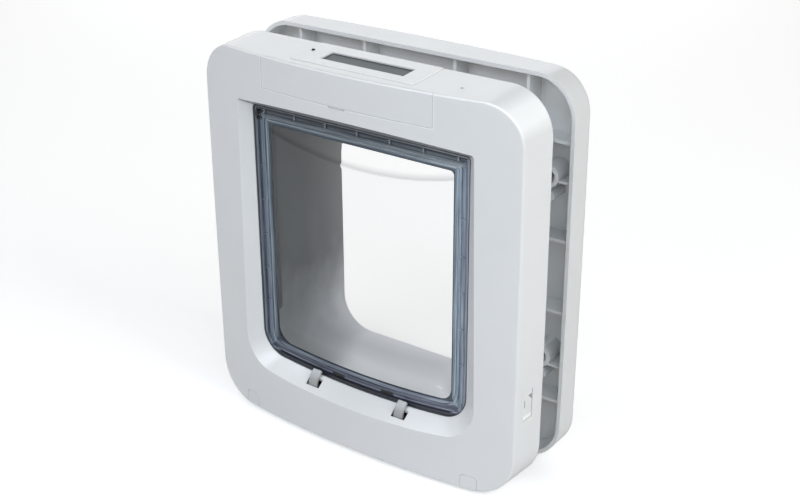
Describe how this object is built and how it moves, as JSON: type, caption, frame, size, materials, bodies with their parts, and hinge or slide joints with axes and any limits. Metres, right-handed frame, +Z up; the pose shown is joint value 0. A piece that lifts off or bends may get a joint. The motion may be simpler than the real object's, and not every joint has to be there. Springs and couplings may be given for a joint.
{
  "type": "microchip pet door",
  "caption": "Pet door with a tinted swinging flap in a bevelled, bowed front, locks in its sill, a display on top and a tunnel through a ribbed rear frame.",
  "frame": {"origin": "under the middle of the whole door's bounding box, at its lowest edge", "axes": "+X to the right seen from the room; +Y from the room to the garden; +Z up"},
  "size_m": [0.262, 0.1134, 0.2857],
  "materials": {
    "shell_white": "satin",
    "chassis_grey": "satin",
    "tunnel_grey": "satin",
    "fascia_grey": "matte",
    "board_green": "satin",
    "display_window": "gloss",
    "display_dark": "gloss",
    "contact_metal": "satin",
    "coil_copper": "satin",
    "steel": "satin",
    "magnet_black": "matte",
    "motor_black": "matte",
    "latch_grey": "satin",
    "flap_rim": "gloss, tinted",
    "flap_clear": "gloss",
    "button_grey": "matte",
    "cell_wrap": "satin"
  },
  "bodies": {
    "unit": {"front_bezel": "shell_white", "chassis": "chassis_grey", "tunnel": "tunnel_grey", "rear_frame": "shell_white", "control_fascia": "fascia_grey", "control_board": "board_green", "display_panel": "shell_white", "display_lens": "display_window", "lcd_module": "display_dark", "light_sensor": "display_dark", "battery_contacts": "contact_metal", "antenna_coil": "coil_copper", "front_lock_motor": "motor_black", "rear_lock_motor": "motor_black", "sill_magnets": "magnet_black", "clamp_screws": "steel", "bezel_screws": "steel", "screw_cover_left": "shell_white", "screw_cover_right": "shell_white", "battery_lower_left": "cell_wrap", "battery_lower_right": "cell_wrap", "battery_upper_left": "cell_wrap", "battery_upper_right": "cell_wrap"},
    "flap": {"flap_frame": "flap_rim", "flap_pane": "flap_clear", "flap_magnets": "magnet_black", "hinge_pin_left": "steel", "hinge_pin_right": "steel"},
    "front_lock": {"front_lock_shaft": "steel", "front_latch_left": "latch_grey", "front_latch_right": "latch_grey"},
    "rear_lock": {"rear_lock_bar": "latch_grey"},
    "cover": {"control_cover": "shell_white"},
    "button_1": {"button_1": "button_grey"},
    "button_2": {"button_2": "button_grey"},
    "button_3": {"button_3": "button_grey"},
    "button_4": {"button_4": "button_grey"}
  },
  "joints": [
    {"name": "flap_swing", "type": "hinge", "parent": "unit", "child": "flap", "pos_m": [0, -0.03955, 0.2356], "axis": [1, 0, 0], "range_deg": [0, 80]},
    {"name": "front_lock_turn", "type": "hinge", "parent": "unit", "child": "front_lock", "pos_m": [0, -0.03865, 0.0391], "axis": [1, 0, 0], "range_deg": [0, 70]},
    {"name": "rear_lock_lift", "type": "slide", "parent": "unit", "child": "rear_lock", "axis": [0, 0, 1], "range_m": [0, 0.012]},
    {"name": "cover_lift", "type": "hinge", "parent": "unit", "child": "cover", "pos_m": [0, -0.0512, 0.2826], "axis": [-1, 0, 0], "range_deg": [0, 40]},
    {"name": "button_1_press", "type": "slide", "parent": "unit", "child": "button_1", "axis": [0, 1, 0], "range_m": [0, 0.001], "stiffness_N_per_m": 300},
    {"name": "button_2_press", "type": "slide", "parent": "unit", "child": "button_2", "axis": [0, 1, 0], "range_m": [0, 0.001], "stiffness_N_per_m": 300},
    {"name": "button_3_press", "type": "slide", "parent": "unit", "child": "button_3", "axis": [0, 1, 0], "range_m": [0, 0.001], "stiffness_N_per_m": 300},
    {"name": "button_4_press", "type": "slide", "parent": "unit", "child": "button_4", "axis": [0, 1, 0], "range_m": [0, 0.001], "stiffness_N_per_m": 300}
  ]
}
